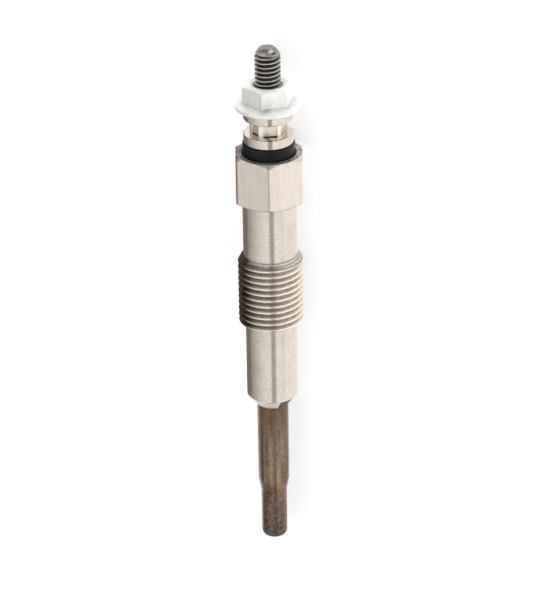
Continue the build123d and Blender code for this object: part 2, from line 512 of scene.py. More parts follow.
@dataclass(frozen=True)
class MouldedFinish(Finish):
    """A moulded, pressed or packed material that isn't metal: plastic, rubber or ceramic powder."""

    clean: str
    dusty: str
    roughness: float
    texture_per_mm: float
    texture_depth: float
    shine: float = 0.5
    dust_per_mm: float = 0.6
    dust_range: Pair = (0.45, 0.75)
    dust_share: float = 0.6
    rough_swing: float = 0.2
    height: float = 0.04

    def inputs(self, tree: Tree) -> dict:
        """Lays out the moulding's nodes.

        Args:
            tree: An empty node tree.

        Returns:
            What the shader's sockets take.
        """
        place = add_node(tree, "TexCoord", [])["Object"]
        given = {"Vector": place, "Detail": 4.0, "Roughness": 0.6}
        texture, dust = (
            add_node(tree, "TexNoise", {**given, "Scale": scale / MM})["Fac"]
            for scale in (self.texture_per_mm, self.dust_per_mm)
        )
        given = [dust, *self.dust_range, 0.0, self.dust_share]
        dusted = add_node(tree, "MapRange", given)["Result"]
        given = {0: dusted, MIX_A: linear(self.clean), MIX_B: linear(self.dusty)}
        colour = add_node(tree, "Mix", given, data_type="RGBA")[MIX_RESULT]
        given = [texture, self.rough_swing, self.roughness - self.rough_swing / 2]
        rough = add_node(tree, "Math", given, operation="MULTIPLY_ADD")["Value"]
        given = {"Strength": self.texture_depth, "Distance": self.height * MM, "Height": texture}
        bump = add_node(tree, "Bump", given)["Normal"]
        shaded = {"Base Color": colour, "Roughness": rough, "Normal": bump}
        return {**shaded, "Specular IOR Level": self.shine}


@dataclass(frozen=True)
class FloorPaint(Finish):
    """Matt paint, lit by the room and by a glow of its own that the camera and mirrors see.

    The room gives it part of white, and the glow gives the rest, so a shadow still shows on it.
    """

    paint: str = "#b8b8b8"
    light: str = "#ffffff"
    glow: float = 0.64
    mirrored: float = 1.28
    roughness: float = 0.9
    shine: float = 0.1

    def inputs(self, tree: Tree) -> dict:
        """Lays out the paint's nodes.

        Args:
            tree: An empty node tree.

        Returns:
            What the shader's sockets take.
        """
        paths = add_node(tree, "LightPath", [])
        seen = paths["Is Glossy Ray"]
        for operation, given in (
            ("MULTIPLY_ADD", [self.mirrored, paths["Is Camera Ray"]]),
            ("MAXIMUM", [paths["Is Transmission Ray"]]),
            ("MULTIPLY", [self.glow]),
        ):
            seen = add_node(tree, "Math", [seen, *given], operation=operation)["Value"]
        painted = {"Base Color": linear(self.paint), "Roughness": self.roughness}
        painted["Specular IOR Level"] = self.shine
        return {**painted, "Emission Color": linear(self.light), "Emission Strength": seen}


@dataclass(frozen=True)
class FlagCard(Finish):
    """Dark card, with an even faint light of its own, so that its reflection is even too."""

    light: str = "#fff3e8"
    strength: float = 0.25
    kind = "Emission"

    def inputs(self, tree: Tree) -> dict:
        """Gives what the card's only shader takes."""
        return {"Color": linear(self.light), "Strength": self.strength}


# Satin nickel over turned steel: a warm grey mirror, blurred into soft bands along the axis.
TURNED_NICKEL = MetalFinish(
    "nickel_plate_on_turned_steel", "#dad0c5", "#b8aa9b", "#3f2f24", "#e8dfd6", Grain.TURNED,
    roughness=0.17, grain_depth=0.3, grain_contrast=0.2, stain_share=0.4, pit_share=0.14,
    pit_per_mm=3.5,
)
# The same plate turned finer on the small ring: its bands are darker and sharper.
FINE_NICKEL = replace(
    TURNED_NICKEL, name="nickel_plate_on_finely_turned_ring", clean="#dcd3c9", roughness=0.09,
    grain_depth=0.2,
)
# The same plate on the rolled thread: speckled brown where oil has dried in its grooves. Its dark
# tone also paints shade on one side and a shadow round the thread's foot.
THREADED_NICKEL = MetalFinish(
    "nickel_plate_on_rolled_thread", "#e0d6cb", "#bfb1a3", "#33261d", "#efe7de", Grain.CAST,
    roughness=0.19, grain_depth=0.3, grain_contrast=0.3, stain_share=0.4, grime_share=0.95,
    pit_share=0.32, pit_per_mm=3.5,
)
# The same plate burnished by the crimping jaws: paler and softer, with near-black painted shade in
# the bites.
PRESSED_NICKEL = MetalFinish(
    "nickel_plate_burnished_by_jaws", "#f4ebe1", "#dfd3c7", "#2c211a", "#fbf5ee", Grain.CAST,
    grime_share=1.0, stain_share=0.4, stain_per_mm=0.8,
)
# The same plate on flats of drawn bar, whose fine lines run along the plug. Its dark tone paints
# shade along the hexagon's ends and beside two of its corners.
DRAWN_NICKEL = MetalFinish(
    "nickel_plate_on_drawn_hexagon", "#e9ded4", "#c9bcaf", "#5a4b41", "#f6efe7", Grain.DRAWN,
    roughness=0.36, grain_contrast=0.6,
)
# Sawn and faced end, thinly plated: dull, grey and pitted, with dirt in its pits and painted shade
# on one side.
PITTED_NICKEL = MetalFinish(
    "nickel_plate_on_faced_steel", "#cac1b9", "#978d84", "#4a423c", "#dcd4cc", Grain.CAST,
    roughness=0.5, stain_share=0.6, stain_per_mm=0.8, pit_share=0.8,
)
# Seat ground for a gas-tight joint: pale and evenly blurred, darker on one side.
GROUND_SEAT = MetalFinish(
    "ground_steel_seat", "#efe7de", "#d6cbc0", "#2a221c", "#f6efe7", Grain.TURNED, roughness=0.6,
    grime_share=1.0,
)
# Bright zinc over cold-formed steel: blue-white, soft-edged, with a faint orange peel.
ZINC_PLATE = MetalFinish(
    "bright_zinc_plate_on_formed_steel", "#faf9f6", "#dfdeda", "#77756f", "#fbfaf7", Grain.CAST,
    roughness=0.55, grain_depth=0.3, stain_share=0.5, stain_per_mm=0.6,
)
# Plain rolled steel: dark and dull in its grooves, rubbed bright on its crests.
ROLLED_STEEL = MetalFinish(
    "plain_rolled_steel", "#8b8782", "#6b6762", "#26221f", "#c9c5bf", Grain.TURNED, roughness=0.42,
    stain_share=0.7, stain_per_mm=0.9, pit_share=0.35, pit_per_mm=2.6,
)
# Iron-chromium-aluminium wire, oxidised grey by its first heating.
HEATING_WIRE = MetalFinish(
    "iron_chromium_resistance_wire", "#8f8a86", "#6f6a66", "#3a3632", "#b5b0aa", Grain.CAST,
    roughness=0.45,
)
# Drawn nickel wire: paler and warmer than the heating coil.
CONTROL_WIRE = MetalFinish(
    "drawn_nickel_wire", "#c4bbaf", "#a89e92", "#4c443c", "#e2dad0", Grain.CAST, roughness=0.35
)
# Drawn alloy tube, brown with oxide, straw and red where the heat ended, darkest at its tip.
HEAT_TINTED_TUBE = HeatTintFinish(
    "heat_tinted_alloy_tube",
    (
        (0.0, "#594b44"), (3.0, "#69584e"), (7.2, "#7a6655"), (8.8, "#866250"), (10.6, "#947c60"),
        (14.0, "#82705f"), (24.0, "#775f4c"),
    ),
    "#4c382a",
    "#b8aa98",
)
# Phenolic moulding: black, satin, with a little pale dust.
PHENOLIC = MouldedFinish("moulded_black_phenolic", "#0c0b0b", "#24211f", 0.4, 4.0, 0.15, 0.22)
# Moulded fluorocarbon rubber: black and dull.
SEAL_RUBBER = MouldedFinish("moulded_seal_rubber", "#202020", "#333130", 0.6, 6.0, 0.3)
# Magnesia powder, pressed until it is as hard as chalk: white and grainy.
MAGNESIA = MouldedFinish("pressed_magnesia_powder", "#e8e4da", "#cfc8ba", 0.85, 8.0, 0.8)
# Matt white emulsion: an even white ground that takes soft shadows.
STUDIO_PAINT = FloorPaint("painted_studio_floor")
# A dark card seen only in reflections, with a faint glow: a painted dark, soft-edged reflection in
# the plug's far side.
REFLECTION_ONLY_CARD = FlagCard("reflection_only_dark_card")


@dataclass
class Piece:
    """What a finished piece stands for: its own name, its CAD node and its material slot."""

    name: str
    node: str
    slot: str

    def make(self, patches: list[Patch], finishes: list[Finish]) -> Object:
        """Makes the piece from grids joined where they meet, and rides it on the plug's body.

        Args:
            patches: The grids.
            finishes: The finishes that the patches number.

        Returns:
            The piece, with smooth faces and hard edges where it turns sharply.
        """
        starts = np.cumsum([0] + [patch.points[..., 0].size for patch in patches])
        points = np.concatenate([patch.points.reshape(-1, 3) for patch in patches])
        grids = [patch.faces(first) for patch, first in zip(patches, starts)]
        slots = np.repeat([patch.finish for patch in patches], [len(grid) for grid in grids])
        mesh = bpy.data.meshes.new(self.name)
        mesh.from_pydata(points, [], np.concatenate(grids))
        mesh.polygons.foreach_set("material_index", slots.astype(np.int32))
        for mark in ("worn", "grime"):
            marks = ((getattr(patch, mark), patch.points.shape[:2]) for patch in patches)
            values = [np.broadcast_to(value, shape).ravel() for value, shape in marks]
            layer = mesh.attributes.new(mark, "FLOAT", "POINT")
            layer.data.foreach_set("value", np.concatenate(values).astype(np.float32))
        for finish in finishes:
            mesh.materials.append(finish.material())
        shape = bmesh.new()
        shape.from_mesh(mesh)
        bmesh.ops.remove_doubles(shape, verts=shape.verts, dist=WELD_DISTANCE)
        bmesh.ops.recalc_face_normals(shape, faces=shape.faces)
        open_edges = sum(1 for edge in shape.edges if len(edge.link_faces) != 2)
        shape.to_mesh(mesh)
        shape.free()
        mesh.polygons.foreach_set("use_smooth", np.ones(len(mesh.polygons), bool))
        mesh.set_sharp_from_angle(angle=CREASE_ANGLE)
        mesh.update()
        piece = bpy.data.objects.new(self.name, mesh)
        bpy.context.scene.collection.objects.link(piece)
        log.info("%s: %d faces, %d open edges", self.name, len(mesh.polygons), open_edges)
        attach(piece, "root")
        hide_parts(self.node)
        return piece


@dataclass(frozen=True)
class MetricThread:
    """A right-hand metric thread, as a surface of helices. Sizes are in millimetres."""

    crest: float
    pitch: float
    depth: float
    crest_width: float
    root_width: float
    phase: float
    clean_depth: float
    softness: float = 0.045
    per_pitch: int = 20
    wear_depth: float = 0.25

    def drop(self, turns: Array) -> Array:
        """How far the surface lies under the crest.

        Over one pitch it is 0 on the crest, falls along a flank, is 1 in the root and climbs
        again. A small sine taken from the even fall softens the flank's two ends.

        Args:
            turns: Pitches passed since a crest.

        Returns:
            The drops, from 0 to 1.
        """
        part = np.abs((turns + 0.5) % 1.0 - 0.5) * 2
        crest = self.crest_width / self.pitch
        root = self.root_width / self.pitch
        even = np.clip((part - crest) / (1 - crest - root), 0, 1)
        return even - self.softness * np.sin(TURN * even)

    def radius(self, station: Number, angle: Number, envelope: Array) -> tuple[Array, Array]:
        """The thread's radius where it is turned down to an envelope.

        Args:
            station: Stations.
            angle: Angles in radians.
            envelope: Rows of station and greatest radius.

        Returns:
            The radii and the drops.
        """
        drop = self.drop((station - self.phase) / self.pitch - angle / TURN)
        limit = np.interp(station, envelope[:, 0], envelope[:, 1])
        return np.minimum(self.crest - self.depth * drop, limit), drop

    def patch(self, angles: Array, envelope: Array, **marks: object) -> Patch:
        """The thread from the envelope's first station to its last.

        Rows follow the helix: a row's station is its own place plus a pitch for each turn of the
        angle, kept between the ends.

        Args:
            angles: Angles round the axis.
            envelope: Rows of station and greatest radius.
            marks: What else the patch takes.

        Returns:
            The patch, worn down to its wear depth and grimy below its clean depth.
        """
        start, end = envelope[0, 0], envelope[-1, 0]
        rows = int(np.ceil(((end - start) / self.pitch + 1) * self.per_pitch)) + 1
        place = start - self.pitch + np.arange(rows)[:, None] * self.pitch / self.per_pitch
        station = np.clip(place + self.pitch * angles[None, :] / TURN, start, end)
        radius, drop = self.radius(station, angles[None, :], envelope)
        cut = radius > self.crest - self.depth * drop - 1e-6
        worn = cut * np.clip(1 - drop / self.wear_depth, 0, 1)
        grime = cut * np.clip((drop - self.clean_depth) / (1 - self.clean_depth), 0, 1)
        return Patch(AXIS.points(station, radius, angles[None, :]), worn=worn, grime=grime, **marks)


@dataclass
class SheathTube:
    """The closed tube round the coils, swaged down over its end."""

    radius: float = 2.42
    bore: float = 1.82
    tip_radius: float = 2.0
    tip_bore: float = 1.5
    tip_floor: float = 0.9
    tip_round: float = 0.85
    swage_start: float = 8.3
    swage_end: float = 10.4
    swage_round: float = 3.0
    end: float = 40.5
    columns: int = 120

    def build(self) -> Object:
        """Makes the tube as one closed profile carried round the axis.

        The swage is a straight cone whose two ends are rounded, so its outline is an S.

        Returns:
            The piece.
        """
        corners = [
            (0, 0, 0), (0, self.tip_radius, self.tip_round),
            (self.swage_start, self.tip_radius, self.swage_round),
            (self.swage_end, self.radius, self.swage_round),
            (self.end, self.radius, 0), (self.end, self.bore, 0), (self.swage_end, self.bore, 0),
            (self.swage_start, self.tip_bore, 0), (self.tip_floor, self.tip_bore, 0),
            (self.tip_floor, 0, 0),
        ]
        patch = lathe(rounded(corners, steps=12), angles_round(self.columns))
        return Piece("sheath", "sheath_tube", "sheath_alloy").make([patch], [HEAT_TINTED_TUBE])


@dataclass
class Housing:
    """The turned body: seat, nose, thread, shank and hexagon, bored in steps.

    A line of painted shade is a middle and half width in degrees and a strength. Other grime
    and painted shade is one strength, or one for each row.
    """

    press_bore: float = 2.43
    seat_edge: float = 2.52
    seat_top: float = 25.75
    seat_land: Pair = (0.12, 0.1)
    nose_radius: float = 3.95
    nose_round: float = 0.1
    # Painted shadow in the undercut at the thread's lower end: the nose row where it has faded, and
    # its strength.
    shadow_fade_length: float = 0.35
    oiled_grime: float = 0.8
    thread_start: float = 38.4
    thread_end: float = 49.75
    thread_chamfer: float = 0.25
    runout: float = 0.3
    shank_radius: float = 4.125
    shank_round: float = 0.12
    hex_start: float = 58.9
    top: float = 66.6
    flat: float = 5.0
    chamfer_radius: float = 4.99
    corner_round: float = 0.4
    hex_band: float = 0.14
    mouth_radius: float = 4.15
    mouth_depth: float = 0.15
    edge_round: float = 0.03
    seal_bore: float = 4.0
    seal_floor: float = 60.35
    chamber: float = 2.82
    chamber_start: float = 42.5843
    press_end: float = 42.35
    # A dark patch on one side of the seat: its middle and width.
    dark_patch_middle: float = np.radians(157)
    dark_patch_width: float = np.radians(16)
    # Painted shade on one side, where the metal reflects the room's dark side: its middle and
    # width.
    shaded_side_middle: float = np.radians(35)
    shaded_side_width: float = np.radians(30)
    dark_patch_below: float = 0.1
    # Painted shadow under the thread: how far it reaches down the nose.
    shadow_below_thread: float = 0.11
    groove_grime: Pair = (0.65, 0.45)
    # Painted shadow round the thread's foot: its reach up the thread, and its fade.
    foot_shadow_band: Pair = (0.4, 0.15)
    ring_spacing: float = 0.34
    ring_grime: float = 0.75
    # Painted shade: lines beside the front corner and on the left flat, and a dark reflection
    # painted on the top chamfer's front.
    front_corner_shade: Row = (119.0, 0.9, 0.55)
    left_flat_shade: Row = (61.6, 1.6, 0.9)
    front_chamfer_reflection: Row = (120.0, 4.0, 1.0)
    # Painted shade, by rows: on the foot chamfer, at the flats' two ends, and on the top chamfer.
    hex_foot_grime: Row = (1.0, 0.8)
    hex_grime: Row = (0.8, 0.0, 0.0, 0.25)
    hex_top_grime: Row = (0.8, 0.4)
    end_grime: float = 0.6
    bore_grime: float = 0.5
    angles: Array = field(default_factory=lambda: angles_round(180, FRONT))
    finishes: tuple[MetalFinish, ...] = (
        TURNED_NICKEL, DRAWN_NICKEL, PITTED_NICKEL, GROUND_SEAT, THREADED_NICKEL,
    )
    thread: MetricThread = MetricThread(4.975, 1.0, 0.6, 0.12, 0.16, 0.468, 0.45)

    def seat_dark_patch(self) -> Array:
        """A dark patch on one side of the seat: 1 near its middle angle, fading to 0 on both sides.
        """
        away = angle_from(self.angles, self.dark_patch_middle) / self.dark_patch_width
        return np.clip((1.6 - away**2) * 2, 0, 1)[None]

    def shaded_side(self) -> Array:
        """Painted shade on one side: 1 to its width from its middle angle, 0 at twice its width."""
        return np.clip(2 - np.abs(angle_from(self.angles, self.shaded_side_middle)) / self.shaded_side_width, 0, 1)

    def threaded(self) -> Patch:
        """The thread and its shoulder, with dirt and painted shade on them.

        Grooves hold dirt, and painted shade darkens them most on the shaded side, by the cosine of
        the angle from there; a painted shadow rings the foot. The shoulder's turning marks are
        rings of dirt, by the cosine of the station, drawn several times as far apart as they are,
        to show.

        Returns:
            The patch.
        """
        crest = self.thread.crest
        cone_start = self.thread_end - crest + self.shank_radius
        envelope = np.array(
            [
                (self.thread_start, crest - self.thread_chamfer),
                (self.thread_start + self.thread_chamfer, crest),
                (cone_start, crest),
                (self.thread_end, self.shank_radius),
            ]
        )
        thread = self.thread.patch(self.angles, envelope, finish=4)
        station = thread.points[..., 0] / MM - AXIS.start
        # Painted shadow round the thread's foot.
        ring_top, ring_fade = self.foot_shadow_band
        foot = np.clip((self.thread_start + ring_top - station) / ring_fade, 0, 1)
        # Painted shade on the shaded side, and a painted shadow round the thread's foot.
        painted_shade = np.maximum(self.shaded_side(), self.oiled_grime * foot)
        even, swing = self.groove_grime
        # Grooves hold dirt all round, and painted shade makes them darker towards the shaded side.
        grooves = thread.grime * (even + swing * np.cos(angle_from(self.angles, self.shaded_side_middle)))
        rings = 0.5 + 0.5 * np.cos(TURN * (station - self.thread_end) / self.ring_spacing)
        rings = self.ring_grime * rings * (station > cone_start)
        thread.grime = np.maximum(np.maximum(grooves, painted_shade), rings)
        thread.worn = thread.worn * (1 - painted_shade)
        return thread

    def below(self, thread_foot: Array) -> list[Patch]:
        """The seat and the nose, with a dark patch on one side and a painted shadow just under the
        thread.

        Args:
            thread_foot: Radius of the thread's first row, for each angle.

        Returns:
            The patches, from the foot up.
        """
        fall, step = self.seat_land
        land = (self.seat_top - fall, self.nose_radius - step, 0)
        seat = [
            (HOUSING_FOOT, self.press_bore, 0), (HOUSING_FOOT, self.seat_edge, self.edge_round),
            land,
        ]
        nose = rounded(
            [
                land, (self.seat_top, self.nose_radius, self.nose_round),
                (self.thread_start - self.shadow_fade_length, self.nose_radius, 0),
                (self.thread_start, self.nose_radius, self.nose_round),
                (self.thread_start, thread_foot, 0),
            ]
        )
        station = nose[..., 0]
        # Darker on one side of the seat, below its top.
        dark_patched = np.where(station < self.seat_top - self.dark_patch_below, self.seat_dark_patch(), 0.0)
        # Painted shadow on the nose just under the thread.
        under_thread_shadow = np.where(station > self.thread_start - self.shadow_below_thread, self.oiled_grime, 0.0)
        return [
            lathe(rounded(seat), self.angles, finish=3, grime=self.seat_dark_patch()),
            lathe(nose, self.angles, grime=np.maximum(dark_patched, under_thread_shadow)),
        ]

    def above(self, thread_head: Array) -> list[Patch]:
        """The shank and the hexagon, up to the mouth.

        A cone of 30 degrees cuts the hexagon's ends, so each column's cut is as long as the
        hexagon's radius there is outside the cone's edge, times the tangent of 30.

        Args:
            thread_head: Radius of the thread's last row, for each angle.

        Returns:
            The patches, from the shank up.
        """
        across = hexagon_radius(self.angles, self.flat, self.corner_round, FRONT)
        cut = (across - self.chamfer_radius) * np.tan(np.pi / 6)
        foot, head = self.hex_start + cut, self.top - cut
        shank = [
            (self.thread_end, thread_head, 0),
            (self.thread_end + self.runout, self.shank_radius, 0),
            (self.hex_start, self.shank_radius, self.shank_round),
            (self.hex_start, self.chamfer_radius, 0),
        ]
        sides = [
            (foot, across, 0), (foot + self.hex_band, across, 0),
            (head - self.hex_band, across, 0), (head, across, 0),
        ]
        end = [
            (self.top, self.chamfer_radius, 0), (self.top, self.mouth_radius, self.edge_round),
            (self.top - self.mouth_depth, self.seal_bore, 0),
        ]
        # Painted shade and a painted dark reflection on the hexagon.
        front, left, front_chamfer_reflection = (
            stripe(self.angles, *line) for line in (self.front_corner_shade, self.left_flat_shade, self.front_chamfer_reflection)
        )
        foot_grime, side_grime, top_grime = (
            np.array(rows)[:, None]
            for rows in (self.hex_foot_grime, self.hex_grime, self.hex_top_grime)
        )
        side_grime = np.maximum(side_grime, np.maximum(front, left))
        return [
            lathe(rounded(shank), self.angles),
            lathe(rounded([shank[-1], sides[0]]), self.angles, grime=foot_grime),
            lathe(rounded(sides), self.angles, finish=1, grime=side_grime),
            lathe(rounded([sides[-1], end[0]]), self.angles, grime=top_grime * front_chamfer_reflection),
            # Painted shade on the top ring's shaded side.
            lathe(rounded(end), self.angles, finish=2, grime=self.end_grime * self.shaded_side()[None]),
        ]

    def build(self) -> Object:
        """Makes the body, from its foot to its mouth and back down its bores.

        Returns:
            The piece.
        """
        thread = self.threaded()
        radii = np.hypot(thread.points[..., 1] / MM, thread.points[..., 2] / MM - AXIS.height)
        bores = [
            (self.top - self.mouth_depth, self.seal_bore, 0), (self.seal_floor, self.seal_bore, 0),
            (self.seal_floor, self.chamber, 0), (self.chamber_start, self.chamber, 0),
            (self.press_end, self.press_bore, 0), (HOUSING_FOOT, self.press_bore, 0),
        ]
        patches = [*self.below(radii[0]), thread, *self.above(radii[-1])]
        patches.append(lathe(rounded(bores), self.angles, grime=self.bore_grime))
        return Piece("body", "housing", "body_nickel").make(patches, self.finishes)


@dataclass
class InsulatingBush:
    """The black bush that keeps the contact ring off the body."""

    outside: float = 3.95
    bore: float = 2.0
    start: float = 62.4
    top: float = 68.4
    foot_edge: float = 0.1
    edge: float = 0.28
    columns: int = 96

    def build(self) -> Object:
        """Makes the bush as one closed profile carried round the axis.

        Returns:
            The piece.
        """
        corners = [
            (self.start, self.bore, 0), (self.start, self.outside, self.foot_edge),
            (self.top, self.outside, self.edge), (self.top, self.bore, 0),
            (self.start, self.bore, 0),
        ]
        patch = lathe(rounded(corners), angles_round(self.columns))
        return Piece("bush", "insulating_bush", "bush_moulding").make([patch], [PHENOLIC])


@dataclass
class ContactRing:
    """The spool-shaped ring, whose neck six jaws have pressed on the rod.

    A jaw's edge has bitten into the neck's lower end, by the bite's changes of radius at its
    stations.
    """

    bore: float = 1.96
    radius: float = 3.79
    start: float = 68.41
    neck_start: float = 69.91
    neck_end: float = 72.21
    top: float = 73.86
    edge: float = 0.2
    neck_radius: float = 2.8
    ledge: float = 2.92
    jaws: int = 6
    jaw_flat: float = 2.25
    jaw_width: float = 2.1
    jaw_turn: float = 3.5
    jaw_lean: float = 0.08
    jaw_flare: float = 0.12
    jaw_rounds: Pair = (0.05, 0.04)
    crown_rise: float = 1.01
    crown_round: float = 0.3
    bite_stations: Row = (0.0, 0.02, 0.15, 0.19, 0.3)
    bite_changes: Row = (0.02, -0.12, -0.12, 0.0, 0.0)
    bite_end: float = np.radians(150)
    reflection_streak_end: float = np.radians(124.5)
    reflection_streak_slope: float = np.radians(7)
    reflection_streak_width: float = np.radians(2.5)
    reflection_streak_foot: float = 2.3
    reflection_streak_core: float = 2.3
    pressed_depths: Pair = (0.25, 0.1)
    columns: int = 144

    def neck_outline(self) -> Array:
        """The pressed neck, seen along the axis.

        For each jaw there is a flat at the jaw's distance from the axis, pressed deeper at one
        edge, straight sides out to the neck's circle, and an arc of that up to the next jaw.

        Returns:
            Rows of the two coordinates across the axis, the last the same as the first.
        """
        half = self.jaw_width / 2
        reach = np.sqrt(self.neck_radius**2 - half**2)
        crown_radius = self.neck_radius * self.crown_rise
        outer, inner = self.jaw_rounds
        corners = []
        for jaw in range(self.jaws):
            middle = np.radians(self.jaw_turn) + jaw * TURN / self.jaws
            cos, sin = np.cos(middle), np.sin(middle)
            for out, side, turn in (
                (reach, -half, outer), (self.jaw_flat + self.jaw_lean, -half, inner),
                (self.jaw_flat - self.jaw_lean, half, inner), (reach, half + self.jaw_flare, outer),
            ):
                corners.append((out * cos - side * sin, out * sin + side * cos, turn))
            crown = middle + np.pi / self.jaws
            cos, sin = np.cos(crown), np.sin(crown)
            corners.append((crown_radius * cos, crown_radius * sin, self.crown_round))
        outline = rounded(corners, steps=5, closed=True)[:, 0]
        outline = np.concatenate([outline, outline[:1]])
        passed = self.lengths(outline)
        places = np.union1d(passed, np.linspace(0, passed[-1], self.columns + 1))
        return np.stack([np.interp(places, passed, outline[:, part]) for part in (0, 1)], axis=-1)

    def lengths(self, outline: Array) -> Array:
        """How much of an outline is passed at each of its points."""
        return np.append(0, np.cumsum(np.linalg.norm(np.diff(outline, axis=0), axis=1)))

    def dark_reflection_streak(self, radius: Array, home: Array) -> Array:
        """A painted dark reflection across the lower flange's face, at an angle that falls in from
        the rim.

        Args:
            radius: Radii.
            home: Angles in radians.

        Returns:
            How strong it is, from 0 beside it to 1 on it.
        """
        middle = self.reflection_streak_end - self.reflection_streak_slope * (self.radius - radius)
        off = np.abs(home % TURN - middle) / self.reflection_streak_width
        return np.clip(self.reflection_streak_core - off, 0, 1)

    def neck(self, home: Array, outline: Array) -> list[Patch]:
        """The neck, its bites, and the ledges that join it to the flanges' faces.

        Args:
            home: Angles of the flanges' points.
            outline: What neck_outline() returns.

        Returns:
            The patches, from the lower flange up.
        """
        radius = np.linalg.norm(outline, axis=1)[None]
        angle = np.unwrap(np.arctan2(outline[:, 1], outline[:, 0]))[None]
        low, high = (AXIS.points(end, self.ledge, home) for end in (self.neck_start, self.neck_end))
        bites = np.array(self.bite_stations)
        station = np.concatenate([self.neck_start + bites, self.neck_end - bites[::-1]])[:, None]
        change = np.append(self.bite_changes, np.zeros(len(bites)))[:, None]
        depth, fade = self.pressed_depths
        pressed = np.clip((self.neck_radius - depth - radius) / fade, 0, 1)
        points = AXIS.points(station, radius + change * pressed, angle)
        # Painted shade along the bites' pressed edges, at angles below the bite end.
        painted_shade = pressed * (angle % TURN < self.bite_end) * (change < -0.01)
        # Painted dark reflection, carried across the ledge under the neck.
        across = np.array([[self.ledge], [self.reflection_streak_foot]])
        return [
            Patch(np.stack([low, points[0]]), grime=self.dark_reflection_streak(across, home)),
            Patch(points, finish=1, grime=painted_shade),
            Patch(np.stack([points[-1], high])),
        ]

    def build(self) -> Object:
        """Makes the ring.

        The neck's outline is carried along the axis. Each of its points has a home angle, its share
        of the outline's length times a whole turn, and so have the points of the flanges' circles.

        Returns:
            The piece.
        """
        outline = self.neck_outline()
        passed = self.lengths(outline)
        home = np.arctan2(outline[0, 1], outline[0, 0]) + TURN * passed / passed[-1]
        lower = rounded(
            [
                (self.start, self.bore, 0), (self.start, self.radius, self.edge),
                (self.neck_start, self.radius, self.edge), (self.neck_start, self.ledge, 0),
            ]
        )
        upper = [
            (self.neck_end, self.ledge, 0), (self.neck_end, self.radius, self.edge),
            (self.top, self.radius, self.edge), (self.top, self.bore, 0),
        ]
        station, radius = lower[..., 0], lower[..., 1]
        # Painted dark reflection on the lower flange's face.
        on_face = (station > self.neck_start - 0.1) & (radius > self.ledge - 0.02)
        patches = [
            lathe(lower, home, grime=on_face * self.dark_reflection_streak(radius, home)),
            *self.neck(home, outline),
            lathe(rounded(upper), home),
            lathe(rounded([(self.top, self.bore, 0), (self.start, self.bore, 0)]), home),
        ]
        finishes = [FINE_NICKEL, PRESSED_NICKEL]
        return Piece("ring", "contact_ring", "ring_nickel").make(patches, finishes)


@dataclass
class TerminalNut:
    """The hexagon nut with its coned flange."""

    flat: float = 3.5
    corner_round: float = 0.45
    turn: float = 45.6
    start: float = 73.87
    top: float = 77.85
    flange_radius: float = 4.97
    rim: float = 0.6
    rim_round: float = 0.27
    cone_angle: float = 23.0
    cone_round: float = 0.22
    top_radius: float = 3.0
    chamfer_angle: float = 25.0
    chamfer_rounds: Pair = (0.25, 0.2)
    bore: float = 1.63
    mouth_radius: float = 2.7
    mouth_round: float = 0.1
    clean_radius: float = 2.165
    clean_lip: float = 0.05
    clean_shares: Pair = (0.45, 0.5)
    countersink: float = 0.618
    joint_grime: float = 0.45
    joint_reach: float = 0.2
    joint_dirt: Row = (117.0, 9.0, 0.55)
    corner_shade: Row = (2.0, 2.5, 0.6)
    columns: int = 180

    def build(self) -> Object:
        """Makes the nut as one profile for each angle.

        The flange's cone climbs inwards until it meets the hexagon, so a column's joint is as high
        as the hexagon there is inside the rim, times the cone's tangent. A second cone cuts the top
        in the same way. Dirt lies in the joint and in the countersink, and painted shade lies along
        one corner.

        Returns:
            The piece.
        """
        turn, cone, chamfer = np.radians([self.turn, self.cone_angle, self.chamfer_angle])
        angles = angles_round(self.columns, turn, spread=6.0)
        across = hexagon_radius(angles, self.flat, self.corner_round, turn)
        joint = self.start + self.rim + (self.flange_radius - across) * np.tan(cone)
        cut = (across - self.top_radius) * np.tan(chamfer)
        side_end, top_end = self.chamfer_rounds
        lip, clean = (self.top - self.countersink * share for share in self.clean_shares)
        profile = rounded(
            [
                (self.start, self.bore, 0), (self.start, self.flange_radius, self.rim_round),
                (self.start + self.rim, self.flange_radius, self.rim_round),
                (joint, across, self.cone_round), (self.top - cut, across, side_end),
                (self.top, self.top_radius, top_end),
                (self.top, self.mouth_radius, self.mouth_round),
                (lip, self.clean_radius + self.clean_lip, 0), (clean, self.clean_radius, 0),
                (self.top - self.countersink, self.bore, 0), (self.start, self.bore, 0),
            ]
        )
        station, radius = profile[..., 0], profile[..., 1]
        in_joint = np.clip(1 - np.abs(station - joint) / self.joint_reach, 0, 1)
        grime = (self.joint_grime + stripe(angles, *self.joint_dirt)) * in_joint
        # Painted shade: a dark line just before one corner.
        before, width, share = self.corner_shade
        off_corner = np.abs(angles - turn - np.pi / 3 + np.radians(before)) / np.radians(width)
        on_corner = share * np.clip(1 - off_corner, 0, 1) * (np.abs(radius - across) < 0.01)
        grime = np.where(radius < self.clean_radius + 0.01, 1.0, np.maximum(grime, on_corner))
        patch = lathe(profile, angles, grime=grime)
        return Piece("nut", "terminal_nut", "nut_zinc").make([patch], [ZINC_PLATE])


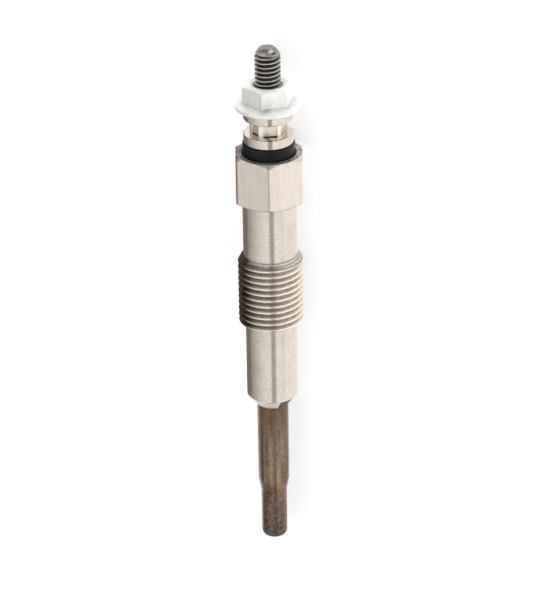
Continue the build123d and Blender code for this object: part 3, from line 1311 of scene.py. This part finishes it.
@dataclass
class TerminalRod:
    """The rod through the middle, with its spigot, core and metric stud.

    A spot on the stud's point is a height, an angle in degrees, a half height, a half width in
    degrees and a strength.
    """

    spigot_start: float = 9.84
    spigot_radius: float = 0.77
    core_start: float = 12.02
    core_radius: float = 1.2
    core_end: float = 43.0
    radius: float = 1.95
    stud_start: float = 73.86
    stud_core: float = 1.6
    thread_start: float = 77.24
    run_in: float = 0.22
    thread_end: float = 82.4
    point_start: float = 82.22
    point_drop: float = 0.09
    point_step: float = 0.2
    point_radii: Row = (1.77, 1.42, 1.15)
    point_edge: float = 0.25
    point_worn: Pair = (0.15, 0.5)
    worn_height: float = 0.5
    facet_middle: float = np.radians(165)
    facet_reach: float = 1.72
    facet_slope: float = 1.25
    bright_spots: tuple[Row, ...] = ((0.4, 80, 0.18, 28, 0.6), (0.72, 150, 0.16, 20, 0.9))
    dark_spots: tuple[Row, ...] = ((0.92, 106, 0.2, 26, 0.6), (0.42, 158, 0.12, 18, 1.0))
    end: float = 83.37
    columns: int = 96
    thread: MetricThread = MetricThread(1.975, 0.7, 0.42, 0.1, 0.12, 0.05, 0.1)

    def spots(self, up: Array, angles: Array, spots: tuple[Row, ...]) -> Array:
        """Soft ovals on the point, each full to half its half size and gone at 1.5 times it.

        Args:
            up: Heights above the thread.
            angles: Angles round the axis.
            spots: The ovals.

        Returns:
            How strong they are together.
        """
        total = 0.0
        for height, middle, tall, wide, share in spots:
            aside = (angles[None] - np.radians(middle)) / np.radians(wide)
            off = np.hypot((up - height) / tall, aside)
            total = total + share * np.clip(1.5 - off, 0, 1)
        return total

    def point(self, head: Array, angles: Array) -> Patch:
        """The stud's plain point, with the facet that the shear left on one side.

        The radius falls along two cones, and is limited to the distance of the facet's plane at
        that station over the cosine of the angle from its middle.

        Args:
            head: Radius of the thread's last row, for each angle.
            angles: Angles round the axis.

        Returns:
            The patch, closed at the middle of the end.
        """
        start = self.thread_end + self.point_step
        station = np.linspace(start, self.end, 16)[:, None]
        cone = np.interp(station, [start, self.end - self.point_edge, self.end], self.point_radii)
        facing = np.maximum(np.cos(angles - self.facet_middle), 0.05)
        facet = (self.facet_reach - self.facet_slope * (station - start)) / facing
        closed = np.zeros_like(head)
        rows = np.concatenate([head[None], np.minimum(cone, facet), closed[None]])
        stations = np.concatenate([[[self.thread_end]], station, [[self.end]]])
        up = stations - self.thread_end
        even, foot = self.point_worn
        fading = np.clip(1 - up / self.worn_height, 0, 1)
        worn = even + foot * fading + self.spots(up, angles, self.bright_spots)
        grime = self.spots(up, angles, self.dark_spots)
        points = AXIS.points(stations, rows, angles[None])
        return Patch(points, worn=np.clip(worn, 0, 1) * (1 - grime), grime=grime)

    def build(self) -> Object:
        """Makes the rod as one closed profile, with its thread between two of its rows.

        Returns:
            The piece.
        """
        angles = angles_round(self.columns)
        envelope = np.array(
            [
                (self.thread_start, self.stud_core),
                (self.thread_start + self.run_in, self.thread.crest),
                (self.point_start, self.thread.crest),
                (self.thread_end, self.thread.crest - self.point_drop),
            ]
        )
        foot, _ = self.thread.radius(self.thread_start, angles, envelope)
        head, _ = self.thread.radius(self.thread_end, angles, envelope)
        corners = [
            (self.spigot_start, 0, 0), (self.spigot_start, self.spigot_radius, 0),
            (self.core_start, self.spigot_radius, 0), (self.core_start, self.core_radius, 0),
            (self.core_end, self.core_radius, 0),
            (self.core_end + self.radius - self.core_radius, self.radius, 0),
            (self.stud_start, self.radius, 0), (self.stud_start, self.stud_core, 0),
            (self.thread_start, foot, 0),
        ]
        thread = self.thread.patch(angles, envelope)
        patches = [lathe(rounded(corners), angles), thread, self.point(head, angles)]
        return Piece("rod", "terminal_rod", "rod_steel").make(patches, [ROLLED_STEEL])


@dataclass
class SealedInside:
    """The five pieces that no view shows. Their CAD shapes stay, and are only dressed."""

    finishes: tuple[tuple[str, Finish], ...] = (
        ("seal_ring", SEAL_RUBBER), ("tube_seal", SEAL_RUBBER), ("heating_coil", HEATING_WIRE),
        ("control_coil", CONTROL_WIRE), ("insulating_powder", MAGNESIA),
    )

    def dress(self) -> None:
        """Gives each CAD node its finish.

        The node's mesh is kept, and its materials are replaced.
        """
        for node, finish in self.finishes:
            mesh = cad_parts[node].data
            mesh.materials.clear()
            mesh.materials.append(finish.material())
            log.info("%s: dressed", node)


@dataclass
class Studio:
    """The floor, the flag, the room and the camera. Lengths are in metres."""

    floor_size: float = 3.0
    floor_steps: int = 13
    focal_length: float = 186.47
    sensor_width: float = 36.0
    clip: Pair = (0.01, 20.0)
    distance: float = 0.4753
    elevation: float = 60.0
    lean: float = 27.4
    roll: float = 0.86
    sideways: float = 0.00081
    target: float = 41.6
    room_light: Pair = (0.12, 1.3)
    steepest: float = 1.4142
    slot_slope: float = 0.78
    slot_width: float = 0.28
    slot_edges: Pair = (0.8, 1.2)
    slot_light: float = 0.42
    flag_distance: float = 0.009
    flag_heights: Pair = (0.0005, 0.0096)
    flag_span: Pair = (-0.0205, 0.03)
    flag_steps: tuple[int, int] = (11, 3)

    def board(self, name: str, x: Array, y: Number, z: Number, finish: Finish) -> Object:
        """A flat board of the studio.

        Args:
            name: Its name.
            x: X coordinates.
            y: Y coordinates, or one for all.
            z: Z coordinates, or one for all.
            finish: Its finish.

        Returns:
            The board.
        """
        grid = Patch(np.stack(np.broadcast_arrays(x, y, z), axis=-1))
        mesh = bpy.data.meshes.new(name)
        mesh.from_pydata(grid.points.reshape(-1, 3), [], grid.faces())
        mesh.materials.append(finish.material())
        board = bpy.data.objects.new(name, mesh)
        bpy.context.scene.collection.objects.link(board)
        return board

    def floor(self) -> None:
        """A white floor.

        It is a square in the ground plane, round the origin.
        """
        steps = np.linspace(-self.floor_size / 2, self.floor_size / 2, self.floor_steps)
        x, y = np.meshgrid(steps, steps, indexing="ij")
        floor = self.board("studio_floor", x, y, 0.0, STUDIO_PAINT)

    def flag(self) -> None:
        """A low dark card beside the plug, seen only in reflections.

        It stands upright along the axis and darkens the plug's far edge.
        """
        along, up = (
            np.linspace(*span, steps)
            for span, steps in zip((self.flag_span, self.flag_heights), self.flag_steps)
        )
        x, z = np.meshgrid(along, up, indexing="ij")
        flag = self.board("studio_flag", x, self.flag_distance, z, REFLECTION_ONLY_CARD)
        for ray in ("camera", "diffuse", "shadow", "transmission"):
            setattr(flag, f"visible_{ray}", False)

    def world(self) -> None:
        """A soft room, brightest above the front of the plug and dim behind it.

        Its light grows evenly with how nearly a direction points 45 degrees up in front. A darker
        slot crosses it where the photographer stood. The camera sees it as white.
        """
        world = bpy.data.worlds.new("studio_room")
        world.use_nodes = True
        world.node_tree.nodes.clear()
        tree = world.node_tree
        towards = add_node(tree, "TexCoord", [])["Generated"]
        parts = add_node(tree, "SeparateXYZ", [towards])
        front = add_node(tree, "Math", [parts["Y"], -1.0], operation="MULTIPLY")["Value"]
        facing, slope = (
            add_node(tree, "Math", [front, parts["Z"]], operation=operation)["Value"]
            for operation in ("ADD", "DIVIDE")
        )
        off = add_node(tree, "Math", [slope, -self.slot_slope], operation="ADD")["Value"]
        off = add_node(tree, "Math", [off], operation="ABSOLUTE")["Value"]
        edges = [self.slot_width * share for share in self.slot_edges]
        light, slot = (
            add_node(tree, "MapRange", given)["Result"]
            for given in (
                [facing, -self.steepest, self.steepest, *self.room_light],
                [off, *edges, self.slot_light, 1.0],
            )
        )
        light = add_node(tree, "Math", [light, slot], operation="MULTIPLY")["Value"]
        seen = add_node(tree, "LightPath", [])["Is Camera Ray"]
        room, backdrop = (
            add_node(tree, "Background", [linear("#ffffff"), strength])["Background"]
            for strength in (light, 1.0)
        )
        mixed = add_node(tree, "MixShader", [seen, room, backdrop])["Shader"]
        add_node(tree, "OutputWorld", {"Surface": mixed})
        bpy.context.scene.world = world

    def camera(self) -> None:
        """The photograph's camera.

        It looks down at 60 degrees on the side of the plug, leaning towards the terminal, and
        holds the plug upright in the picture, a little turned and left of the middle.
        """
        elevation, lean, roll = np.radians([self.elevation, self.lean, self.roll])
        side = np.array([0, -np.cos(elevation), np.sin(elevation)])
        axis = np.array([1.0, 0, 0])
        back = np.cos(lean) * side + np.sin(lean) * axis
        upright = np.cos(lean) * axis - np.sin(lean) * side
        right = np.cross(upright, back)
        up = np.cos(roll) * upright + np.sin(roll) * right
        across = np.cross(up, back)
        target = AXIS.points(self.target, 0.0, 0.0)
        place = target + self.distance * back + self.sideways * right
        data = bpy.data.cameras.new("studio_camera")
        data.lens, data.sensor_width = self.focal_length, self.sensor_width
        data.clip_start, data.clip_end = self.clip
        camera = bpy.data.objects.new("studio_camera", data)
        turn = Matrix(np.column_stack([across, up, back]).tolist()).to_4x4()
        camera.matrix_world = Matrix.Translation(Vector(place.tolist())) @ turn
        bpy.context.scene.collection.objects.link(camera)
        bpy.context.scene.camera = camera

    def build(self) -> None:
        """Sets the stage.

        Colours are shown as they are, by the Standard view transform.
        """
        self.camera()
        self.floor()
        self.flag()
        self.world()
        bpy.context.scene.view_settings.view_transform = "Standard"


def main() -> None:
    """Builds the studio, then the plug from its tip to its terminal.

    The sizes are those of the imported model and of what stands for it.
    """
    Studio().build()
    for part in (SheathTube, Housing, InsulatingBush, ContactRing, TerminalNut, TerminalRod):
        piece = part().build()
        log.info("%s stands for its CAD node", piece.name)
    SealedInside().dress()


if __name__ == "__main__":
    main()
